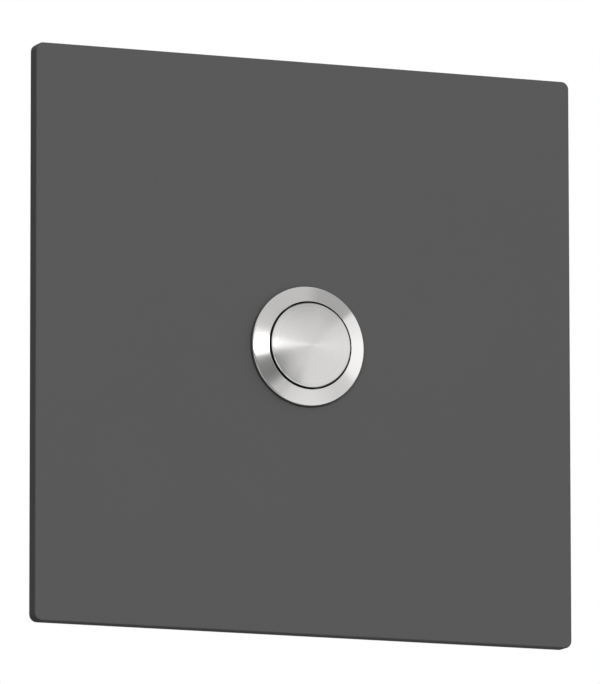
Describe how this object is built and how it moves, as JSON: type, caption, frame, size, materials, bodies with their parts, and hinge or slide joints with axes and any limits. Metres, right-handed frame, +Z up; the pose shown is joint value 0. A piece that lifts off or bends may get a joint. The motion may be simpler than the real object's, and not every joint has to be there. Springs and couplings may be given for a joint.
{
  "type": "doorbell push button",
  "caption": "Square powder-coated wall plate with a flush turned-steel push button; pressing the cap closes a bell circuit, and welded studs fix the plate to a wall.",
  "frame": {"origin": "centre of the plate's back face, on the wall and on the button's axis", "axes": "+Z up the wall, +Y into the wall along the button's axis, so the front of the plate looks along -Y"},
  "size_m": [0.105, 0.0325, 0.105],
  "materials": {
    "powder_coat": "fine matte grey powder coat on steel plate",
    "stud_steel": "rolled thread, plain stainless steel",
    "black_rubber": "matte moulded rubber",
    "turned_steel": "turned stainless steel with fine concentric tool marks",
    "spring_steel": "drawn and hardened steel",
    "white_acetal": "moulded natural acetal",
    "bronze": "rolled phosphor bronze strip",
    "silver": "silver contact button",
    "black_nylon": "moulded glass-filled nylon",
    "terminal_brass": "rolled brass strip",
    "zinc_steel": "bright zinc-plated steel",
    "nickel_brass": "nickel-plated brass"
  },
  "bodies": {
    "wall_plate": {"faceplate": "powder_coat", "mounting_studs": "stud_steel", "panel_gasket": "black_rubber", "button_housing": "turned_steel", "stem_seal": "black_rubber", "return_spring": "spring_steel", "terminal_base": "black_nylon", "left_terminal": "terminal_brass", "right_terminal": "terminal_brass", "fixed_contacts": "silver", "wire_clamps": "zinc_steel", "terminal_screws": "zinc_steel", "lock_washer": "zinc_steel", "lock_nut": "nickel_brass"},
    "button": {"button_cap": "turned_steel", "stem_clip": "spring_steel", "plunger": "white_acetal", "bridge_keeper": "spring_steel", "contact_spring": "spring_steel"},
    "bridge": {"contact_bridge": "bronze", "bridge_contacts": "silver"}
  },
  "joints": [
    {"name": "button_press", "type": "slide", "parent": "wall_plate", "child": "button", "axis": [0, 1, 0], "range_m": [0, 0.002], "stiffness_N_per_m": 1500, "springref_m": -0.002, "deforming": ["return_spring"]},
    {"name": "contact_close", "type": "slide", "parent": "wall_plate", "child": "bridge", "axis": [0, 1, 0], "range_m": [0, 0.0016], "deforming": ["contact_spring"]}
  ],
  "couplings": [
    {"joint": "contact_close", "follows": "button_press", "ratio": 0.8}
  ]
}
